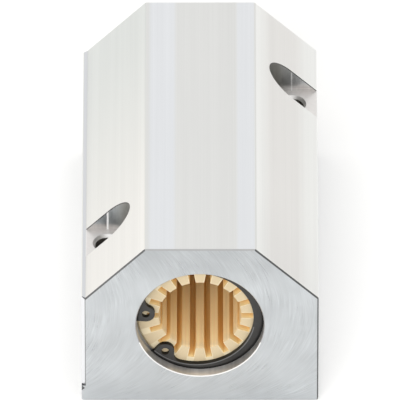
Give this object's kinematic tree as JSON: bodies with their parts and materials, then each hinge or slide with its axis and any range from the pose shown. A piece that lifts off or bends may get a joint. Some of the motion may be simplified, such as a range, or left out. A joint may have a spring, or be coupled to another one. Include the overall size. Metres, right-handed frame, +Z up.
{
  "type": "linear bearing block",
  "caption": "Long closed aluminium bearing block with two slotted polymer bushes that slide on a 30 mm shaft; two counterbored screw pockets fix it to a flat face.",
  "frame": {"origin": "centre of the base face", "axes": "+Z up from the base, +Y along the shaft towards the rear end, +X to the right seen from the front end"},
  "size_m": [0.087, 0.152, 0.07],
  "materials": {
    "housing": "clear anodised extrusion with milled end faces",
    "bush": "natural cream moulded bearing polymer",
    "spacer": "turned",
    "ring": "phosphated spring steel"
  },
  "bodies": {
    "root": {"housing_block": "housing", "front_bush": "bush", "rear_bush": "bush", "bush_spacer": "spacer", "front_retaining_ring": "ring", "rear_retaining_ring": "ring"}
  },
  "joints": []
}
